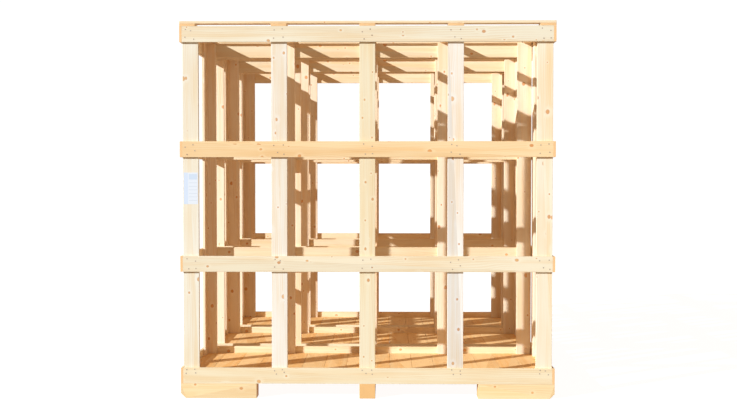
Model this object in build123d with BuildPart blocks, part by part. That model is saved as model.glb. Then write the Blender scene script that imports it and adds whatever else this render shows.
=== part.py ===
from build123d import *
import os

# Open-frame timber shipping crate: three lattice bays in line on fork-lift
# runners, under a lift-off lattice lid. Millimetres, +Z up, front at -Y,
# origin at the bottom centre of the crate.

# ---- driving dimensions -------------------------------------------------
WIDTH = 2250.0            # overall, across the front (X)
BAY = 811.0               # one bay, outside face to outside face (Y)
BAY_GAP = 95.0            # clear slot between neighbouring bays (Y)
BAYS = 3
BOARD_W = 95.0            # face width of every lattice board
BOARD_T = 15.0            # rails, lid boards and lid strips
POST_T = 24.0             # upright posts
SIDE_POST_T = 16.0        # uprights nailed inside the side rails
SKID_H = 89.0             # runner layer, the fork height
BEARER_T = 32.0           # cross bearers that carry the floor
FLOOR_T = 18.0            # floor boards
FLOOR_BOARDS = 16         # floor boards in a bay
FLOOR_SEAM = 1.6          # open seam between floor boards
LOWER_RAIL_Z = 764.0      # underside of the lower middle rails
UPPER_RAIL_Z = 1453.0     # underside of the upper middle rails
WALL_TOP = 2235.0         # top of walls, where the lid rests
BLOCK_INNER_X = 667.0     # inner end of the corner runner blocks
BLOCK_CHAMFER = 30.0      # lead-in on the outer lower corner of a block
LID_STRIP_W = 60.0        # cross strips on top of the lid boards
NAIL_R = 1.6
NAIL_HEAD_R = 3.8
NAIL_HEAD_T = 0.8

# ---- derived positions --------------------------------------------------
LENGTH = BAYS * BAY + (BAYS - 1) * BAY_GAP
Y0 = -LENGTH / 2
RAIL_HALF = WIDTH / 2 - BOARD_T           # cross rails stop at the side rails
FLOOR_TOP = SKID_H + BEARER_T + FLOOR_T
BAY_START = [Y0 + i * (BAY + BAY_GAP) for i in range(BAYS)]
RAIL_Z = {
    "bottom": SKID_H,
    "lower": LOWER_RAIL_Z,
    "upper": UPPER_RAIL_Z,
    "top": WALL_TOP - BOARD_W,
}
LID_X = [-(WIDTH - BOARD_W) / 2, -529.0, 0.0, 529.0, (WIDTH - BOARD_W) / 2]

# Post centres, left to right, for each of the six cross frames. The inner
# frames were set out by eye, so they differ by a few millimetres.
FRONT_X = [-1062.0, -529.0, 0.0, 529.0, 1062.0]
B1F_X = [-1072.0, -549.0, -8.0, 508.0, 1042.0]
B1F_W = [75.0] + [BOARD_W] * 4            # its first post is a narrower board
B1R_X = [-1051.0, -520.0, 3.0, 536.0, 1062.0]
B2F_X = [-1055.0, -522.0, 3.0, 536.0, 1062.0]
B2R_X = [-1055.0, -522.0, 3.0, 536.0, 1062.0]
REAR_X = [-1050.0, -517.0, 8.0, 540.0, 1062.0]

os.makedirs("parts", exist_ok=True)


def save(builder, name):
    """Label a finished piece and write its STEP file."""
    builder.part.label = name
    export_step(builder.part, "parts/" + name + ".step")


def cross_rail(y_low, z_low):
    """One board across the crate, standing on edge, at a given height."""
    with BuildPart() as rail:
        with BuildSketch(Plane.XY.offset(z_low)):
            with Locations((0, y_low + BOARD_T / 2)):
                Rectangle(2 * RAIL_HALF, BOARD_T)
        extrude(amount=BOARD_W)
    return rail


def cross_rails(y_low):
    """The four rails of one inner cross frame."""
    with BuildPart() as rails:
        for z_low in RAIL_Z.values():
            with BuildSketch(Plane.XY.offset(z_low)):
                with Locations((0, y_low + BOARD_T / 2)):
                    Rectangle(2 * RAIL_HALF, BOARD_T)
            extrude(amount=BOARD_W)
    return rails


def posts(centres, y_low, widths=None):
    """Upright posts of a cross frame, from the floor to the wall top."""
    widths = widths or [BOARD_W] * len(centres)
    with BuildPart() as uprights:
        for x, width in zip(centres, widths):
            with BuildSketch(Plane.XY.offset(FLOOR_TOP)):
                with Locations((x, y_low + POST_T / 2)):
                    Rectangle(width, POST_T)
            extrude(amount=WALL_TOP - FLOOR_TOP)
    return uprights


def nails(face, spots, length):
    """Wire nails driven at spots on a plane whose normal points inwards.

    The head lies on the board face and the shank runs along the normal.
    """
    with BuildPart() as group:
        with BuildSketch(face):
            with Locations(spots):
                Circle(NAIL_R)
        extrude(amount=length)
        with BuildSketch(face):
            with Locations(spots):
                Circle(NAIL_HEAD_R)
        extrude(amount=-NAIL_HEAD_T)
    return group


# Nail clusters: offsets from a crossing's centre, used in turn so that no
# two neighbouring crossings look alike.
CLUSTERS = [
    [(-27, 24), (21, 30), (-31, -25), (26, -19)],
    [(-22, 31), (29, 17), (-12, -29), (31, -27)],
    [(-30, 12), (17, 27), (-19, -31), (28, -9)],
    [(-25, 28), (6, 20), (-28, -18), (24, -30)],
    [(-31, 22), (26, 25), (-8, -20), (30, -30)],
]


def cluster(index, count=4):
    return CLUSTERS[index % len(CLUSTERS)][:count]


# ---- runners ------------------------------------------------------------
with BuildPart() as centre_skid:
    with BuildSketch(Plane.XY):
        Rectangle(BOARD_W, LENGTH)
    extrude(amount=SKID_H)
save(centre_skid, "centre_skid")

# Corner blocks lie across the crate under each cross frame.
BLOCK_Y = []
for start in BAY_START:
    BLOCK_Y += [start + BOARD_W / 2, start + BAY - BOARD_W / 2]
BLOCK_LEN = WIDTH / 2 - BLOCK_INNER_X
BLOCK_MID = (WIDTH / 2 + BLOCK_INNER_X) / 2

for side, sign in (("left", -1), ("right", 1)):
    with BuildPart() as blocks:
        with BuildSketch(Plane.XY):
            with Locations([(sign * BLOCK_MID, y) for y in BLOCK_Y]):
                Rectangle(BLOCK_LEN, BOARD_W)
        extrude(amount=SKID_H)
        outer_low = (
            blocks.edges()
            .filter_by(Axis.Y)
            .filter_by_position(Axis.Z, -0.1, 0.1)
            .filter_by_position(Axis.X, sign * WIDTH / 2 - 0.1, sign * WIDTH / 2 + 0.1)
        )
        chamfer(outer_low, BLOCK_CHAMFER)
    save(blocks, side + "_runner_blocks")

# ---- bearers and floor, bay by bay --------------------------------------
for number, start in enumerate(BAY_START, 1):
    inner_low, inner_high = start + BOARD_T, start + BAY - BOARD_T
    with BuildPart() as bearers:
        with BuildSketch(Plane.XY.offset(SKID_H)):
            with Locations(
                (0, inner_low + BOARD_W / 2),
                (0, start + BAY / 2),
                (0, inner_high - BOARD_W / 2),
            ):
                Rectangle(2 * RAIL_HALF, BOARD_W)
        extrude(amount=BEARER_T)
    save(bearers, "bay%d_floor_bearers" % number)

    pitch = 2 * RAIL_HALF / FLOOR_BOARDS
    with BuildPart() as floor:
        with BuildSketch(Plane.XY.offset(SKID_H + BEARER_T)):
            with Locations((0, start + BAY / 2)):
                with GridLocations(pitch, 1, FLOOR_BOARDS, 1):
                    Rectangle(pitch - FLOOR_SEAM, inner_high - inner_low)
        extrude(amount=FLOOR_T)
    save(floor, "bay%d_floor_boards" % number)

# ---- front and rear walls, piece by piece -------------------------------
FRONT_RAIL_Y = Y0
FRONT_POST_Y = Y0 + BOARD_T
REAR_RAIL_Y = -Y0 - BOARD_T
REAR_POST_Y = REAR_RAIL_Y - POST_T

for wall, rail_y, post_y, centres in (
    ("front", FRONT_RAIL_Y, FRONT_POST_Y, FRONT_X),
    ("rear", REAR_RAIL_Y, REAR_POST_Y, REAR_X),
):
    for level, z_low in RAIL_Z.items():
        save(cross_rail(rail_y, z_low), wall + "_" + level + "_rail")
    for number, x in enumerate(centres, 1):
        save(posts([x], post_y), "%s_post_%d" % (wall, number))

# ---- inner cross frames -------------------------------------------------
# Every bay has its posts inside and its rails outside, so the two frames of
# a bulkhead face each other across the slot rails to rails.
B1F_RAIL_Y = BAY_START[0] + BAY - BOARD_T
B1F_POST_Y = B1F_RAIL_Y - POST_T
B1R_RAIL_Y = BAY_START[1]
B1R_POST_Y = B1R_RAIL_Y + BOARD_T
B2F_RAIL_Y = BAY_START[1] + BAY - BOARD_T
B2F_POST_Y = B2F_RAIL_Y - POST_T
B2R_RAIL_Y = BAY_START[2]
B2R_POST_Y = B2R_RAIL_Y + BOARD_T

for frame, rail_y, post_y, centres, widths in (
    ("bulkhead1_front", B1F_RAIL_Y, B1F_POST_Y, B1F_X, B1F_W),
    ("bulkhead1_rear", B1R_RAIL_Y, B1R_POST_Y, B1R_X, None),
    ("bulkhead2_front", B2F_RAIL_Y, B2F_POST_Y, B2F_X, None),
    ("bulkhead2_rear", B2R_RAIL_Y, B2R_POST_Y, B2R_X, None),
):
    save(cross_rails(rail_y), frame + "_rails")
    save(posts(centres, post_y, widths), frame + "_posts")

# ---- side walls ---------------------------------------------------------
SIDE_POST_Y = []
for start in BAY_START:
    SIDE_POST_Y += [
        start + BOARD_T + POST_T + BOARD_W / 2,
        start + BAY / 2,
        start + BAY - BOARD_T - POST_T - BOARD_W / 2,
    ]

for side, sign in (("left", -1), ("right", 1)):
    rail_x = sign * (WIDTH / 2 - BOARD_T / 2)
    for level, z_low in RAIL_Z.items():
        with BuildPart() as side_rail:
            with BuildSketch(Plane.XY.offset(z_low)):
                with Locations((rail_x, 0)):
                    Rectangle(BOARD_T, LENGTH)
            extrude(amount=BOARD_W)
        save(side_rail, side + "_" + level + "_rail")
    post_x = sign * (RAIL_HALF - SIDE_POST_T / 2)
    with BuildPart() as side_posts:
        with BuildSketch(Plane.XY.offset(FLOOR_TOP)):
            with Locations([(post_x, y) for y in SIDE_POST_Y]):
                Rectangle(SIDE_POST_T, BOARD_W)
        extrude(amount=WALL_TOP - FLOOR_TOP)
    save(side_posts, side + "_side_posts")

# ---- lift-off lid -------------------------------------------------------
for number, x in enumerate(LID_X, 1):
    with BuildPart() as lid_board:
        with BuildSketch(Plane.XY.offset(WALL_TOP)):
            with Locations((x, 0)):
                Rectangle(BOARD_W, LENGTH)
        extrude(amount=BOARD_T)
    save(lid_board, "lid_board_%d" % number)

STRIP_Y = []
for start in BAY_START:
    STRIP_Y += [start + LID_STRIP_W / 2, start + BAY - LID_STRIP_W / 2]
with BuildPart() as lid_strips:
    with BuildSketch(Plane.XY.offset(WALL_TOP + BOARD_T)):
        with Locations([(0, y) for y in STRIP_Y]):
            Rectangle(WIDTH, LID_STRIP_W)
    extrude(amount=BOARD_T)
save(lid_strips, "lid_cross_strips")

# ---- nails --------------------------------------------------------------
# Front and rear: through the rail into the post behind it. The sketch plane
# is the outer face, its X along the crate's X and its Y up, so its offsets
# read as (x, z).
WALL_NAIL = BOARD_T + POST_T - 4
front_spots, rear_spots = [], []
for row, z_low in enumerate(RAIL_Z.values()):
    z_mid = z_low + BOARD_W / 2
    # the bottom rail laps only the part of a post that is above the floor
    if z_low < FLOOR_TOP:
        z_mid = (FLOOR_TOP + z_low + BOARD_W) / 2
    for col in range(5):
        for dx, dz in cluster(row + 2 * col):
            if z_low < FLOOR_TOP:
                dz = dz * 0.45
            front_spots.append((FRONT_X[col] + dx, z_mid + dz))
            rear_spots.append((REAR_X[col] + dx, z_mid + dz))
# Both planes have world Z as their local Y; the rear one faces -Y, so its
# local X runs towards -X.
FRONT_FACE = Plane(origin=(0, Y0, 0), x_dir=(-1, 0, 0), z_dir=(0, 1, 0))
REAR_FACE = Plane(origin=(0, -Y0, 0), x_dir=(1, 0, 0), z_dir=(0, -1, 0))
save(nails(FRONT_FACE, [(-x, z) for x, z in front_spots], WALL_NAIL), "front_nails")
save(nails(REAR_FACE, rear_spots, WALL_NAIL), "rear_nails")

# Sides: through the side rail into the upright inside it.
side_spots = []
for row, z_low in enumerate(RAIL_Z.values()):
    z_mid = z_low + BOARD_W / 2
    if z_low < FLOOR_TOP:
        z_mid = (FLOOR_TOP + z_low + BOARD_W) / 2
    for col, y in enumerate(SIDE_POST_Y):
        for dy, dz in cluster(row + col, 3):
            if z_low < FLOOR_TOP:
                dz = dz * 0.45
            side_spots.append((y + dy, z_mid + dz))
LEFT_FACE = Plane(origin=(-WIDTH / 2, 0, 0), x_dir=(0, 1, 0), z_dir=(1, 0, 0))
RIGHT_FACE = Plane(origin=(WIDTH / 2, 0, 0), x_dir=(0, -1, 0), z_dir=(-1, 0, 0))
SIDE_NAIL = BOARD_T + SIDE_POST_T - 3
save(nails(LEFT_FACE, side_spots, SIDE_NAIL), "left_nails")
save(nails(RIGHT_FACE, [(-y, z) for y, z in side_spots], SIDE_NAIL), "right_nails")

# Lid: through each strip into the board below it, two at each crossing.
lid_spots = []
for row, y in enumerate(STRIP_Y):
    for col, x in enumerate(LID_X):
        flip = 1 if (row + col) % 2 else -1
        lid_spots += [(x - 24, y + flip * 14), (x + 22, y - flip * 12)]
LID_FACE = Plane(
    origin=(0, 0, WALL_TOP + 2 * BOARD_T), x_dir=(-1, 0, 0), z_dir=(0, 0, -1)
)
save(nails(LID_FACE, [(-x, y) for x, y in lid_spots], 2 * BOARD_T - 3), "lid_nails")

# ---- blank shipping label on the first front post -----------------------
LABEL_W, LABEL_H, LABEL_T = 86.0, 190.0, 0.4
with BuildPart() as shipping_label:
    with BuildSketch(Plane.XY.offset(1171.0)):
        with Locations((FRONT_X[0], FRONT_POST_Y - LABEL_T / 2)):
            Rectangle(LABEL_W, LABEL_T)
    extrude(amount=LABEL_H)
save(shipping_label, "shipping_label")
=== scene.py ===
import math

import bpy
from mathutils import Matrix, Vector


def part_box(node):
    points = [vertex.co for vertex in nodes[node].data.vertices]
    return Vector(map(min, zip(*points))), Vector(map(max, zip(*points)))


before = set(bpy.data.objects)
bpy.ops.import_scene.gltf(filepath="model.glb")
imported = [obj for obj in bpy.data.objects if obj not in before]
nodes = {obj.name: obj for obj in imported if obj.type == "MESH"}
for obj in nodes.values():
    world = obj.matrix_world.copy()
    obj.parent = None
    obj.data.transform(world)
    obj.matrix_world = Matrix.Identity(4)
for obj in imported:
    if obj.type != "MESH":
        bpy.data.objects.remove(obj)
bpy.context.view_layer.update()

scene = bpy.context.scene
scene.view_settings.view_transform = "Standard"
scene.view_settings.look = "None"

# ---------------------------------------------------------------- camera
cam_data = bpy.data.cameras.new("camera")
cam_data.sensor_fit = "HORIZONTAL"
cam_data.sensor_width = 36.0
cam_data.lens = 49.70
cam_data.clip_end = 400.0
camera = bpy.data.objects.new("camera", cam_data)
camera.location = (0.1031, -7.4011, 1.3209)
camera.rotation_euler = (math.radians(90.0 - 1.677), 0.0, math.radians(0.902))
scene.collection.objects.link(camera)
scene.camera = camera

# ---------------------------------------------------------------- light
SUN_WAY = Vector((1.48, 1.0, -0.725))
sun_data = bpy.data.lights.new("key", "SUN")
sun_data.energy = 5.5
sun_data.angle = math.radians(0.7)
sun_data.color = (0.90, 1.0, 1.09)
sun = bpy.data.objects.new("key", sun_data)
sun.rotation_euler = SUN_WAY.to_track_quat("-Z", "Y").to_euler()
scene.collection.objects.link(sun)

world = bpy.data.worlds.new("studio")
scene.world = world
world.use_nodes = True
wn = world.node_tree
wn.nodes.clear()
w_out = wn.nodes.new("ShaderNodeOutputWorld")
w_mix = wn.nodes.new("ShaderNodeMixShader")
w_path = wn.nodes.new("ShaderNodeLightPath")
w_fill = wn.nodes.new("ShaderNodeBackground")
w_fill.inputs["Color"].default_value = (1.0, 0.72, 0.52, 1.0)
w_fill.inputs["Strength"].default_value = 0.41
w_back = wn.nodes.new("ShaderNodeBackground")
w_back.inputs["Color"].default_value = (1.0, 1.0, 1.0, 1.0)
w_back.inputs["Strength"].default_value = 1.05
wn.links.new(w_path.outputs["Is Camera Ray"], w_mix.inputs[0])
wn.links.new(w_fill.outputs[0], w_mix.inputs[1])
wn.links.new(w_back.outputs[0], w_mix.inputs[2])
wn.links.new(w_mix.outputs[0], w_out.inputs["Surface"])

# ---------------------------------------------------------------- floor
floor_mesh = bpy.data.meshes.new("studio_floor")
R = 90.0
floor_mesh.from_pydata(
    [(-R, -R, 0), (R, -R, 0), (R, R, 0), (-R, R, 0)], [], [(0, 1, 2, 3)]
)
studio_floor = bpy.data.objects.new("studio_floor", floor_mesh)
scene.collection.objects.link(studio_floor)
studio_floor.visible_diffuse = False
fm = bpy.data.materials.new("studio_floor")
fm.use_nodes = True
fb = fm.node_tree.nodes["Principled BSDF"]
fb.inputs["Base Color"].default_value = (0.22, 0.22, 0.22, 1)
fb.inputs["Roughness"].default_value = 0.95
fb.inputs["Specular IOR Level"].default_value = 0.0
fb.inputs["Emission Color"].default_value = (1.0, 1.0, 0.995, 1)
fb.inputs["Emission Strength"].default_value = 0.93
floor_mesh.materials.append(fm)


# ---------------------------------------------------------------- node helper
class Graph:
    """Small helper to write shader maths compactly."""

    def __init__(self, material):
        self.nt = material.node_tree
        self.nt.nodes.clear()
        self.out = self.nt.nodes.new("ShaderNodeOutputMaterial")

    def link(self, a, b):
        self.nt.links.new(a, b)

    def put(self, socket, value):
        if hasattr(value, "default_value") or hasattr(value, "is_linked"):
            self.link(value, socket)
        else:
            socket.default_value = value

    def math(self, op, a, b=None, c=None, clamp=False):
        n = self.nt.nodes.new("ShaderNodeMath")
        n.operation = op
        n.use_clamp = clamp
        self.put(n.inputs[0], a)
        if b is not None:
            self.put(n.inputs[1], b)
        if c is not None:
            self.put(n.inputs[2], c)
        return n.outputs[0]

    def combine(self, x, y, z=0.0):
        n = self.nt.nodes.new("ShaderNodeCombineXYZ")
        self.put(n.inputs[0], x)
        self.put(n.inputs[1], y)
        self.put(n.inputs[2], z)
        return n.outputs[0]

    def separate(self, v):
        n = self.nt.nodes.new("ShaderNodeSeparateXYZ")
        self.link(v, n.inputs[0])
        return n.outputs[0], n.outputs[1], n.outputs[2]

    def noise(self, v, scale=1.0, detail=2.0, rough=0.5, dims="3D"):
        n = self.nt.nodes.new("ShaderNodeTexNoise")
        n.noise_dimensions = dims
        self.link(v, n.inputs["Vector"])
        n.inputs["Scale"].default_value = scale
        n.inputs["Detail"].default_value = detail
        n.inputs["Roughness"].default_value = rough
        return n.outputs["Fac"]

    def remap(self, x, a, b, c, d, smooth=True):
        n = self.nt.nodes.new("ShaderNodeMapRange")
        n.interpolation_type = "SMOOTHSTEP" if smooth else "LINEAR"
        self.put(n.inputs["Value"], x)
        self.put(n.inputs["From Min"], a)
        self.put(n.inputs["From Max"], b)
        n.inputs["To Min"].default_value = c
        n.inputs["To Max"].default_value = d
        return n.outputs["Result"]

    def mix(self, fac, a, b, kind="MIX"):
        n = self.nt.nodes.new("ShaderNodeMix")
        n.data_type = "RGBA"
        n.blend_type = kind
        self.put(n.inputs[0], fac)
        self.put(n.inputs[6], a if not isinstance(a, tuple) else (*a, 1.0)[:4])
        self.put(n.inputs[7], b if not isinstance(b, tuple) else (*b, 1.0)[:4])
        return n.outputs[2]


# ---------------------------------------------------------------- timber
def timber(name, along, across, pale, warm, dark, seed, spread=0.5, bump=0.35, tint=(1.0, 1.0, 1.0), calm=1.0):
    """Sawn spruce. along is the axis of the grain and across the board's face
    axis (0, 1 or 2). Knots are real-sized, and each board has its own stretch
    of tree, by the random number of its island."""
    mat = bpy.data.materials.new(name)
    mat.use_nodes = True
    g = Graph(mat)
    nt = g.nt
    thick = 3 - along - across
    coord = nt.nodes.new("ShaderNodeTexCoord")
    p = g.separate(coord.outputs["Object"])
    normal = g.separate(coord.outputs["Normal"])
    island = nt.nodes.new("ShaderNodeNewGeometry").outputs["Random Per Island"]
    white = nt.nodes.new("ShaderNodeTexWhiteNoise")
    white.noise_dimensions = "2D"
    g.link(g.combine(g.math("MULTIPLY", island, 937.0), seed), white.inputs["Vector"])
    r1, r2, r3 = g.separate(white.outputs["Color"])
    a = g.math("MULTIPLY_ADD", r1, 31.0, p[along])
    c = g.math("MULTIPLY_ADD", r2, 17.0, p[across])
    t = g.math("MULTIPLY_ADD", r3, 9.0, p[thick])

    # knots: one candidate in each 0.24 m by 0.075 m cell of the face
    cell_a, cell_c = 0.205, 0.070
    vor = nt.nodes.new("ShaderNodeTexVoronoi")
    vor.voronoi_dimensions = "2D"
    vor.feature = "F1"
    vor.inputs["Scale"].default_value = 1.0
    vor.inputs["Randomness"].default_value = 0.92
    ua = g.math("DIVIDE", a, cell_a)
    uc = g.math("DIVIDE", c, cell_c)
    g.link(g.combine(ua, uc), vor.inputs["Vector"])
    ka, kc, _ = g.separate(vor.outputs["Position"])
    da = g.math("MULTIPLY", g.math("SUBTRACT", ua, ka), cell_a)
    dc = g.math("MULTIPLY", g.math("SUBTRACT", uc, kc), cell_c)
    kr, kg, kb = g.separate(vor.outputs["Color"])
    wob = g.noise(g.combine(a, c, t), 60.0, 1.0)
    dist = g.math(
        "SQRT",
        g.math(
            "ADD",
            g.math("POWER", g.math("MULTIPLY", da, 0.82), 2.0),
            g.math("POWER", dc, 2.0),
        ),
    )
    dist = g.math("ADD", dist, g.math("MULTIPLY", g.math("SUBTRACT", wob, 0.5), 0.004))
    # radius 3 to 10 mm; most cells have a small knot, many none
    size = g.remap(kr, 0.30, 1.0, 0.0, 1.0, smooth=False)
    radius = g.math("MULTIPLY_ADD", g.math("POWER", size, 2.3), 0.0076, 0.0032)
    has = g.math("GREATER_THAN", kr, 0.36)
    q = g.math("DIVIDE", dist, radius)
    knot = g.math("MULTIPLY", g.remap(q, 0.75, 1.25, 1.0, 0.0), has)
    rim = g.math("MULTIPLY", g.remap(g.math("ABSOLUTE", g.math("SUBTRACT", q, 1.0)), 0.0, 0.45, 1.0, 0.0), has)
    halo = g.math("MULTIPLY", g.remap(q, 1.0, 4.2, 1.0, 0.0), has)
    side = g.math("SIGN", dc)

    # growth lines, bent round the knots and wandering along the board
    wander = g.noise(g.combine(g.math("MULTIPLY", a, 1.3), g.math("MULTIPLY", c, 5.0), t), 1.0, 2.0)
    fine = g.noise(g.combine(g.math("MULTIPLY", a, 6.0), g.math("MULTIPLY", c, 40.0), g.math("MULTIPLY", t, 40.0)), 1.0, 2.0)
    push = g.math("MULTIPLY", g.math("MULTIPLY", halo, side), -0.0055)
    across_bent = g.math("ADD", c, push)
    depth = g.math("ADD", across_bent, g.math("MULTIPLY", t, 0.7))
    phase = g.math(
        "ADD",
        g.math("MULTIPLY", depth, 2 * math.pi / 0.0105),
        g.math("MULTIPLY", g.math("SUBTRACT", wander, 0.5), 48.0),
    )
    ring = g.math("MULTIPLY_ADD", g.math("SINE", phase), 0.5, 0.5)
    ring = g.math("POWER", ring, 2.6)
    ring = g.math("MULTIPLY", ring, g.remap(fine, 0.25, 0.75, 0.45, 1.0, smooth=False))
    figure = g.noise(g.combine(g.math("MULTIPLY", a, 1.7), g.math("MULTIPLY", c, 15.0), g.math("MULTIPLY", t, 9.0)), 1.0, 2.0)
    ring = g.math("MULTIPLY", ring, g.remap(figure, 0.38, 0.64, 0.12, 1.25))

    # broad streaks down the grain and slow patches
    streak = g.noise(
        g.combine(g.math("MULTIPLY", a, 1.1), g.math("MULTIPLY", across_bent, 34.0), g.math("MULTIPLY", t, 30.0)), 1.0, 3.0, 0.55
    )
    patch = g.noise(g.combine(g.math("MULTIPLY", a, 2.1), g.math("MULTIPLY", c, 7.0), g.math("MULTIPLY", t, 5.0)), 1.0, 2.0)

    warmth = g.math("ADD", g.remap(streak, 0.36, 0.70, 0.0, 0.62), g.math("MULTIPLY", g.math("SUBTRACT", patch, 0.5), 1.35))
    warmth = g.math("ADD", warmth, g.math("MULTIPLY", g.math("SUBTRACT", r3, 0.5), spread), clamp=True)
    colour = g.mix(warmth, pale, warm)
    colour = g.mix(g.math("MULTIPLY", ring, 0.46 * calm), colour, dark)
    # whiter, wider ring of wood about a knot, then the knot with a dark rim
    paler = tuple(min(1.0, x * y) for x, y in zip(pale, (1.04, 1.06, 1.10)))
    colour = g.mix(g.math("MULTIPLY", halo, 0.50), colour, paler)
    knot_fill = g.mix(kg, (0.78, 0.370, 0.110), (0.64, 0.250, 0.066))
    colour = g.mix(g.math("MULTIPLY", knot, 0.86), colour, knot_fill)
    colour = g.mix(g.math("MULTIPLY", rim, 0.28), colour, (0.46, 0.170, 0.045))

    # end grain: deeper, with rings across the section
    facing = g.math("ABSOLUTE", normal[along])
    end = g.remap(facing, 0.72, 0.9, 0.0, 1.0)
    ring_r = g.math(
        "SQRT",
        g.math(
            "ADD",
            g.math("POWER", g.math("SUBTRACT", p[across], g.math("MULTIPLY", r1, 0.25)), 2.0),
            g.math("POWER", g.math("ADD", p[thick], g.math("MULTIPLY", r2, 0.25)), 2.0),
        ),
    )
    rings_end = g.math("MULTIPLY_ADD", g.math("SINE", g.math("MULTIPLY", ring_r, 2 * math.pi / 0.006)), 0.5, 0.5)
    end_colour = g.mix(rings_end, tuple(x * y for x, y in zip(warm, (1.02, 0.98, 0.95))), tuple(x * y for x, y in zip(warm, (0.92, 0.80, 0.68))))
    colour = g.mix(end, colour, end_colour)

    # each board a little lighter or darker than the next
    shade = g.remap(r1, 0.0, 1.0, 0.90, 1.06, smooth=False)
    grey = g.combine(shade, shade, shade)
    colour = g.mix(1.0, colour, grey, "MULTIPLY")
    colour = g.mix(1.0, colour, tuple(tint), "MULTIPLY")

    # relief: saw marks across the grain, open growth lines, dished knots
    saw = g.noise(g.combine(g.math("MULTIPLY", a, 260.0), g.math("MULTIPLY", c, 6.0), g.math("MULTIPLY", t, 6.0)), 1.0, 1.0)
    fibre = g.noise(g.combine(g.math("MULTIPLY", a, 25.0), g.math("MULTIPLY", c, 700.0), g.math("MULTIPLY", t, 700.0)), 1.0, 2.0)
    height = g.math("ADD", g.math("MULTIPLY", saw, 0.35), g.math("MULTIPLY", fibre, 0.45))
    height = g.math("SUBTRACT", height, g.math("MULTIPLY", ring, 0.30))
    height = g.math("SUBTRACT", height, g.math("MULTIPLY", rim, 0.6))
    bn = nt.nodes.new("ShaderNodeBump")
    bn.inputs["Strength"].default_value = bump
    bn.inputs["Distance"].default_value = 0.0009
    g.link(height, bn.inputs["Height"])

    rough = g.remap(fibre, 0.25, 0.75, 0.60, 0.80, smooth=False)
    rough = g.math("SUBTRACT", rough, g.math("MULTIPLY", knot, 0.16))

    bsdf = nt.nodes.new("ShaderNodeBsdfPrincipled")
    bsdf.inputs["Specular IOR Level"].default_value = 0.28
    g.link(colour, bsdf.inputs["Base Color"])
    g.link(rough, bsdf.inputs["Roughness"])
    g.link(bn.outputs[0], bsdf.inputs["Normal"])
    g.link(bsdf.outputs[0], g.out.inputs["Surface"])
    return mat


X, Y, Z = 0, 1, 2
RAIL = ((0.885, 0.715, 0.475), (0.840, 0.575, 0.300), (0.710, 0.410, 0.165))
POST = ((0.890, 0.740, 0.550), (0.855, 0.605, 0.345), (0.735, 0.430, 0.190))
DECK = ((0.920, 0.600, 0.275), (0.880, 0.480, 0.160), (0.720, 0.315, 0.085))
SKID = ((0.870, 0.665, 0.375), (0.820, 0.530, 0.230), (0.690, 0.380, 0.140))

rail_x = timber("rail_timber_x", X, Z, *RAIL, seed=1.0)
rail_y = timber("rail_timber_y", Y, Z, *RAIL, seed=2.0)
post_x = timber("post_timber", Z, X, *POST, seed=3.0, spread=0.6)
post_y = timber("side_post_timber", Z, Y, *POST, seed=4.0)
deck_y = timber("floor_timber", Y, X, *DECK, seed=5.0, spread=1.25, calm=0.6)
bearer = timber("bearer_timber", X, Y, *DECK, seed=6.0)
lid_y = timber("lid_board_timber", Y, X, *RAIL, seed=7.0)
lid_x = timber("lid_strip_timber", X, Y, *RAIL, seed=8.0)
FRONT_TINT = {
    "front_post_1": (0.965, 1.10, 1.23),
    "front_post_2": (0.89, 1.015, 1.20),
    "front_post_3": (0.92, 0.98, 0.93),
    "front_post_4": (0.89, 1.02, 1.25),
    "front_post_5": (0.925, 0.99, 1.02),
    "front_top_rail": (0.865, 0.98, 1.13),
    "front_upper_rail": (0.96, 0.883, 0.745),
    "front_lower_rail": (0.88, 0.97, 1.07),
    "front_bottom_rail": (0.99, 1.08, 1.14),
}
front_boards = {}
for index, (node, tint) in enumerate(FRONT_TINT.items()):
    if "_post_" in node:
        front_boards[node] = timber(node + "_timber", Z, X, *POST, seed=20.0 + index, spread=0.3, tint=tint, calm=0.7)
    else:
        front_boards[node] = timber(node + "_timber", X, Z, *RAIL, seed=20.0 + index, spread=0.3, tint=tint, calm=0.8)
block = timber("block_timber", X, Z, *SKID, seed=9.0)
skid = timber("skid_timber", Y, Z, *SKID, seed=10.0)


def steel(name):
    mat = bpy.data.materials.new(name)
    mat.use_nodes = True
    g = Graph(mat)
    coord = g.nt.nodes.new("ShaderNodeTexCoord")
    mottle = g.noise(coord.outputs["Object"], 900.0, 2.0)
    rust = g.noise(coord.outputs["Object"], 7.0, 2.0)
    colour = g.mix(mottle, (0.36, 0.27, 0.20), (0.52, 0.42, 0.34))
    colour = g.mix(g.remap(rust, 0.5, 0.75, 0.0, 0.6), colour, (0.22, 0.095, 0.04))
    bsdf = g.nt.nodes.new("ShaderNodeBsdfPrincipled")
    bsdf.inputs["Metallic"].default_value = 0.55
    g.link(colour, bsdf.inputs["Base Color"])
    g.link(g.remap(mottle, 0.3, 0.7, 0.38, 0.62, smooth=False), bsdf.inputs["Roughness"])
    bump = g.nt.nodes.new("ShaderNodeBump")
    bump.inputs["Strength"].default_value = 0.3
    bump.inputs["Distance"].default_value = 0.0003
    g.link(mottle, bump.inputs["Height"])
    g.link(bump.outputs[0], bsdf.inputs["Normal"])
    g.link(bsdf.outputs[0], g.out.inputs["Surface"])
    return mat


nail_steel = steel("nail_steel")


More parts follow.
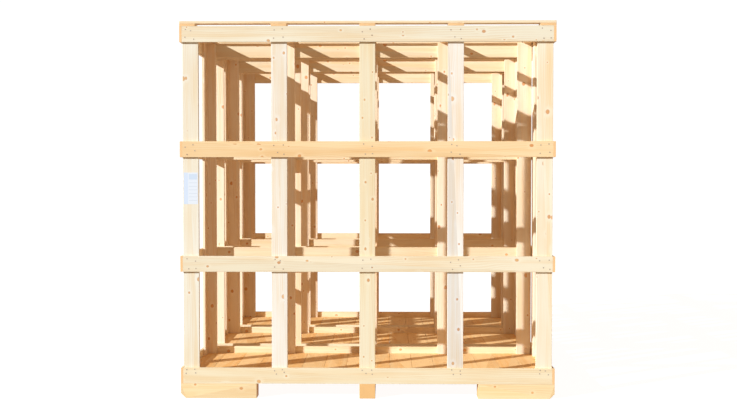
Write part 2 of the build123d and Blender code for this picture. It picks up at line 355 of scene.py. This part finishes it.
def paper(name):
    """Blank printed form: pale paper, a tinted panel and ruled boxes with no lettering."""
    mat = bpy.data.materials.new(name)
    mat.use_nodes = True
    g = Graph(mat)
    coord = g.nt.nodes.new("ShaderNodeTexCoord")
    x, y, z = g.separate(coord.outputs["Object"])
    lo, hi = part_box("shipping_label")
    u = g.remap(x, lo.x, hi.x, 0.0, 1.0, smooth=False)
    v = g.remap(z, lo.z, hi.z, 0.0, 1.0, smooth=False)
    fibres = g.noise(coord.outputs["Object"], 420.0, 2.0)
    sheet = g.mix(fibres, (0.66, 0.71, 0.77), (0.72, 0.77, 0.82))

    def band(value, low, high):
        return g.math("MULTIPLY", g.math("GREATER_THAN", value, low), g.math("LESS_THAN", value, high))

    left = band(u, 0.0, 0.30)
    head = g.math("MULTIPLY", band(v, 0.78, 0.95), band(u, 0.36, 0.94))
    rows = g.math("LESS_THAN", g.math("FRACT", g.math("MULTIPLY", v, 9.0)), 0.14)
    rows = g.math("MULTIPLY", rows, g.math("MULTIPLY", band(u, 0.36, 0.94), band(v, 0.06, 0.74)))
    colour = g.mix(g.math("MULTIPLY", left, 0.5), sheet, (0.50, 0.62, 0.80))
    colour = g.mix(g.math("MULTIPLY", head, 0.35), colour, (0.30, 0.48, 0.70))
    colour = g.mix(g.math("MULTIPLY", rows, 0.30), colour, (0.25, 0.32, 0.42))
    bsdf = g.nt.nodes.new("ShaderNodeBsdfPrincipled")
    bsdf.inputs["Specular IOR Level"].default_value = 0.3
    g.link(colour, bsdf.inputs["Base Color"])
    g.link(g.remap(fibres, 0.3, 0.7, 0.45, 0.62, smooth=False), bsdf.inputs["Roughness"])
    bump = g.nt.nodes.new("ShaderNodeBump")
    bump.inputs["Strength"].default_value = 0.15
    bump.inputs["Distance"].default_value = 0.0004
    g.link(g.noise(coord.outputs["Object"], 38.0, 2.0), bump.inputs["Height"])
    g.link(bump.outputs[0], bsdf.inputs["Normal"])
    g.link(bsdf.outputs[0], g.out.inputs["Surface"])
    return mat


label_paper = paper("label_paper")


def finish_for(name):
    if name.endswith("_nails"):
        return nail_steel
    if name == "shipping_label":
        return label_paper
    if name in front_boards:
        return front_boards[name]
    if name == "centre_skid":
        return skid
    if name.endswith("_runner_blocks"):
        return block
    if name.endswith("_floor_boards"):
        return deck_y
    if name.endswith("_floor_bearers"):
        return bearer
    if name.startswith("lid_board"):
        return lid_y
    if name == "lid_cross_strips":
        return lid_x
    if name.endswith("_side_posts"):
        return post_y
    if "_post" in name:
        return post_x
    if name.startswith(("left_", "right_")):
        return rail_y
    return rail_x


for name, obj in nodes.items():
    obj.data.materials.clear()
    obj.data.materials.append(finish_for(name))
    for polygon in obj.data.polygons:
        polygon.material_index = 0
    if name.endswith("_nails") or name == "shipping_label":
        continue
    # join the face corners that the import split, then ease every arris
    weld = obj.modifiers.new("weld", "WELD")
    weld.merge_threshold = 0.00002
    ease = obj.modifiers.new("eased_edges", "BEVEL")
    ease.width = 0.0014
    ease.segments = 2
    ease.limit_method = "ANGLE"
    ease.angle_limit = math.radians(30)
    ease.harden_normals = False

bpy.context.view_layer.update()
